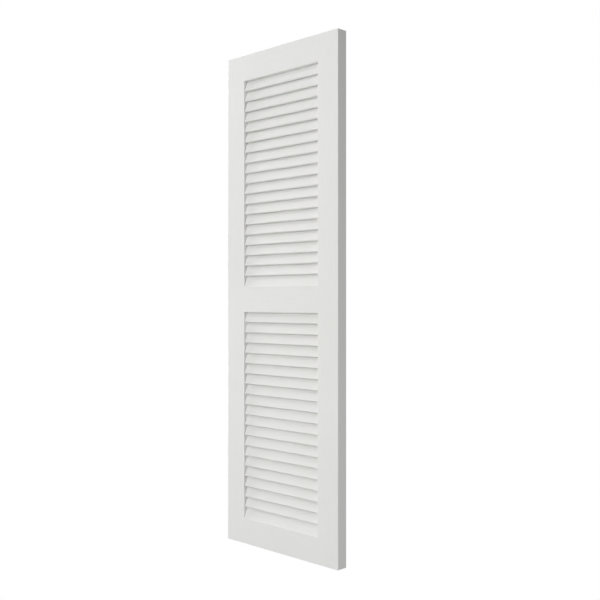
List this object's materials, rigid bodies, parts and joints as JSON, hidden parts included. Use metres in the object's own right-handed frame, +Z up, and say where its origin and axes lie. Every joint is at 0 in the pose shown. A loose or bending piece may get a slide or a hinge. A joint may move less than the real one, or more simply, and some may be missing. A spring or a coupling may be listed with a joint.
{
  "type": "louvred shutter",
  "caption": "Tall fixed-louvre shutter panel in white painted wood, with a plain stile-and-rail frame, a middle rail and sloping slats that shade, screen and let air through.",
  "frame": {"origin": "middle of the panel's foot, halfway through its thickness", "axes": "+Z up along the stiles, the front with the louvres' noses faces -Y, +X to the right as seen from the front"},
  "size_m": [0.381, 0.0286, 1.2192],
  "materials": {
    "painted_frame": "satin white paint on planed wood",
    "painted_louvre": "satin white paint on planed wood",
    "beech": "bare turned beech"
  },
  "bodies": {
    "root": {"stile_left": "painted_frame", "stile_right": "painted_frame", "rail_top": "painted_frame", "rail_middle": "painted_frame", "rail_bottom": "painted_frame", "louvre_upper_01": "painted_louvre", "louvre_upper_02": "painted_louvre", "louvre_upper_03": "painted_louvre", "louvre_upper_04": "painted_louvre", "louvre_upper_05": "painted_louvre", "louvre_upper_06": "painted_louvre", "louvre_upper_07": "painted_louvre", "louvre_upper_08": "painted_louvre", "louvre_upper_09": "painted_louvre", "louvre_upper_10": "painted_louvre", "louvre_upper_11": "painted_louvre", "louvre_upper_12": "painted_louvre", "louvre_upper_13": "painted_louvre", "louvre_upper_14": "painted_louvre", "louvre_upper_15": "painted_louvre", "louvre_upper_16": "painted_louvre", "louvre_upper_17": "painted_louvre", "louvre_upper_18": "painted_louvre", "louvre_upper_19": "painted_louvre", "louvre_upper_20": "painted_louvre", "louvre_lower_01": "painted_louvre", "louvre_lower_02": "painted_louvre", "louvre_lower_03": "painted_louvre", "louvre_lower_04": "painted_louvre", "louvre_lower_05": "painted_louvre", "louvre_lower_06": "painted_louvre", "louvre_lower_07": "painted_louvre", "louvre_lower_08": "painted_louvre", "louvre_lower_09": "painted_louvre", "louvre_lower_10": "painted_louvre", "louvre_lower_11": "painted_louvre", "louvre_lower_12": "painted_louvre", "louvre_lower_13": "painted_louvre", "louvre_lower_14": "painted_louvre", "louvre_lower_15": "painted_louvre", "louvre_lower_16": "painted_louvre", "louvre_lower_17": "painted_louvre", "louvre_lower_18": "painted_louvre", "louvre_lower_19": "painted_louvre", "louvre_lower_20": "painted_louvre", "dowels_top": "beech", "dowels_middle": "beech", "dowels_bottom": "beech"}
  },
  "joints": []
}
